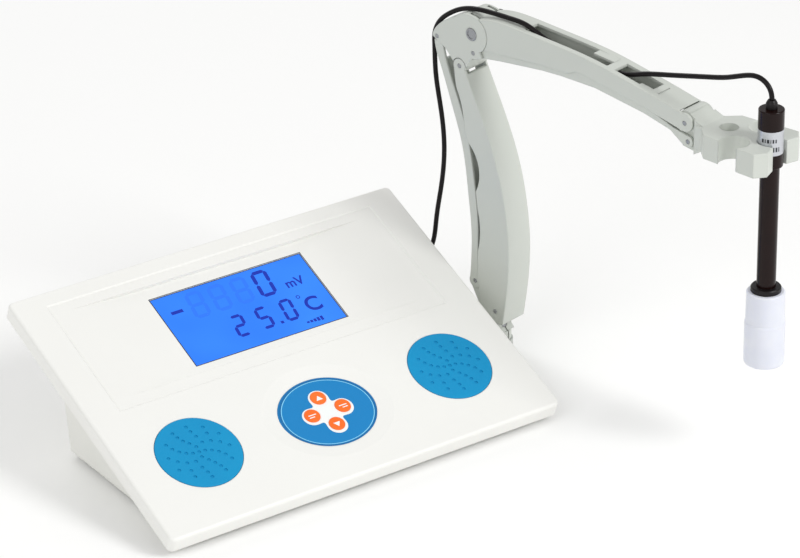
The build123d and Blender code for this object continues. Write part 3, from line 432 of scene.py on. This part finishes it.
def keypad():
    keys = {name: middle(name) for name in ("key_up", "key_down", "key_left", "key_right")}
    up = UPWARD.dot((keys["key_left"] + keys["key_right"]) / 2)
    offset = (keys["key_right"] - keys["key_left"]).x / 2 / MM
    low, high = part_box("keypad_overlay")
    half_w = (high.x - low.x) / 2 / MM
    half_l = (reach("keypad_overlay", UPWARD) - up) / MM
    height = reach("keypad_overlay", NORMAL) + RIM_LIFT
    white = clear_film("keypad_white_print", "F1F5F4", 0.4)
    rim = clear_film("keypad_rim_print", "006AA8", 0.4)
    line = clear_film("keypad_line_print", "8FDCFA", 0.4)
    outer, edge, inner = [(half_w * w, half_l * v) for w, v in RIM_EDGES]
    ring_piece("keypad_rim", outer, edge, up, height, rim)
    ring_piece("keypad_line", edge, inner, up, height, line)
    printed("keypad_clover", [clover(offset, CLOVER_LOBE, CLOVER_WAIST)], up, height + 0.01 * MM, white)
    key_marks = {
        "key_up": ("up_key", [[(-2.4, -1.5), (2.4, -1.5), (0, 2.1)]]),
        "key_down": ("down_key", [[(-2.4, 1.5), (0, -2.1), (2.4, 1.5)]]),
        "key_left": ("left_key", [bar(0, 0.9, 5.6, 0.7), bar(-0.9, -0.9, 3.8, 0.7)]),
        "key_right": ("right_key", [bar(0, 0.9, 5.6, 0.7), bar(0.9, -0.9, 3.8, 0.7)]),
    }
    for key, (body, shapes) in key_marks.items():
        across = (keys[key].x - middle("lcd_panel").x) / MM
        along = UPWARD.dot(keys[key])
        moved = [[(x + across, v) for x, v in outline] for outline in shapes]
        printed(key + "_mark", moved, along, reach(key, NORMAL) + RIM_LIFT, white, body)


# ----------------------------------------------------------------- electrode
# Height of each row above the label's middle, height of its bars, and their widths, in millimetres.
LABEL_ROWS = ((2.0, 2.4, (1.3, 0.7, 1.5, 0.5, 1.1, 0.9)),
              (-3.6, 3.0, (1.5, 0.8, 1.3, 0.6, 1.5, 0.9, 1.2, 0.7)))
LABEL_GAP = 0.7
LABEL_FACING = -2.35      # direction that the rows face, in radians from +X


def label_marks():
    """Rows of plain bars, in place of print, round the side of the label that faces the user."""
    low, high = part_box("electrode_label")
    centre = (low + high) / 2
    radius = (high.x - low.x) / 2 + 0.03 * MM
    ink = clear_film("label_ink", "2B2D33", 0.45)
    points, faces = [], []
    steps = 3
    for z, tall, widths in LABEL_ROWS:
        angle = LABEL_FACING - sum(w + LABEL_GAP for w in widths) / 2 * MM / radius
        for width in widths:
            first = len(points)
            for i in range(steps + 1):
                a = angle + width * MM / radius * i / steps
                for side in (-0.5, 0.5):
                    points.append(centre + Vector((radius * cos(a), radius * sin(a), (z + side * tall) * MM)))
            faces += [(first + 2 * i, first + 2 * i + 2, first + 2 * i + 3, first + 2 * i + 1)
                      for i in range(steps)]
            angle += (width + LABEL_GAP) * MM / radius
    new_piece("label_marks", points, faces, ink, "electrode")


# --------------------------------------------------------------------- cable
def cable_part(name, node, a, b, keep_from=None, keep_to=None):
    """A copy of a cable node, cut by up to two planes, that is left loose between two bodies or rides on one."""
    mesh = NODES[node].data.copy()
    mesh.name = name
    bm = bmesh.new()
    bm.from_mesh(mesh)
    bmesh.ops.remove_doubles(bm, verts=bm.verts, dist=0.00001)
    for plane in (keep_from, keep_to):
        if plane:
            point, direction = plane
            bmesh.ops.bisect_plane(bm, geom=bm.verts[:] + bm.edges[:] + bm.faces[:], plane_co=point,
                                   plane_no=direction, clear_inner=True)
    bm.to_mesh(mesh)
    bm.free()
    for polygon in mesh.polygons:
        polygon.use_smooth = True
    piece = bpy.data.objects.new(name, mesh)
    bpy.context.scene.collection.objects.link(piece)
    mesh.materials.clear()
    mesh.materials.append(MATERIALS["cable_black"])
    if b:
        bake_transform(piece)
    else:
        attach(piece, a)
    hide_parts(node)


def cable():
    """Each stretch runs from one body to the next along the arm, and ends where the next one starts."""
    cap, over_head, slot = arm_point(215.5, 0, 250), arm_point(192, 0, 250), arm_point(135, 0, 250)
    cable_part("cable_at_cap", "cable_lead", "electrode", "head",
               keep_from=(over_head, FORWARD))
    cable_part("cable_over_head", "cable_lead", "head", "upper_arm",
               keep_from=(over_head, -FORWARD))
    cable_part("cable_in_arm", "cable_arm", "upper_arm", None)
    cable_part("cable_over_elbow", "cable_elbow", "upper_arm", "elbow")
    elbow, high, low, desk = (arm_point(s, 0, z) for s, z in ((-46, 204), (-46, 165), (-42, 122), (-42, 62)))
    up = Vector((0, 0, 1))
    cable_part("cable_down_upper", "cable_drop", "elbow", "front_arm", keep_from=(high, up))
    cable_part("cable_down_middle", "cable_drop", "front_arm", "arm_base",
               keep_from=(high, -up), keep_to=(low, up))
    cable_part("cable_down_lower", "cable_drop", "arm_base", "meter", keep_from=(low, -up))


# --------------------------------------------------------------------- stage
def floor():
    mesh = bpy.data.meshes.new("floor")
    half = 6.0
    corners = [(-half, -half, 0), (half, -half, 0), (half, half, 0), (-half, half, 0)]
    mesh.from_pydata(corners, [], [(0, 1, 2, 3)])
    piece = bpy.data.objects.new("floor", mesh)
    bpy.context.scene.collection.objects.link(piece)
    finish = Finish("floor", "FDFDFC", 0.7, Specular_IOR_Level=0.1)
    finish.uneven(4, 0.66, 0.74)
    mesh.materials.append(finish.material)


def area_light(name, place, aim, size, power):
    light = bpy.data.lights.new(name, "AREA")
    light.shape = "DISK"
    light.size = size
    light.energy = power
    lamp = bpy.data.objects.new(name, light)
    bpy.context.scene.collection.objects.link(lamp)
    lamp.location = place
    lamp.rotation_euler = (Vector(aim) - Vector(place)).to_track_quat("-Z", "Y").to_euler()


def studio():
    world = bpy.data.worlds.new("studio")
    bpy.context.scene.world = world
    world.use_nodes = True
    world.node_tree.nodes["Background"].inputs["Color"].default_value = (1, 1, 1, 1)
    world.node_tree.nodes["Background"].inputs["Strength"].default_value = 0.56
    area_light("key_light", (1.0, -1.9, 1.7), (0, 0, 0.05), 1.0, 33)
    area_light("fill_light", (-1.8, -0.6, 1.3), (0, 0, 0.1), 1.8, 12)
    area_light("back_light", (0.4, 1.7, 1.5), (0.1, 0, 0.1), 1.6, 9)
    bpy.context.scene.view_settings.view_transform = "Standard"


def camera():
    data = bpy.data.cameras.new("camera")
    data.lens = CAMERA_LENS
    data.sensor_width = 36
    data.clip_end = 50
    holder = bpy.data.objects.new("camera", data)
    bpy.context.scene.collection.objects.link(holder)
    back = -CAMERA_FORWARD.normalized()
    right = (CAMERA_RIGHT - back * CAMERA_RIGHT.dot(back)).normalized()
    up = back.cross(right)
    turn = Matrix((right, up, back)).transposed().to_4x4()
    holder.matrix_world = Matrix.Translation(CAMERA_PLACE) @ turn
    bpy.context.scene.camera = holder


dress_frame()
display()
keypad()
label_marks()
cable()
floor()
studio()
camera()
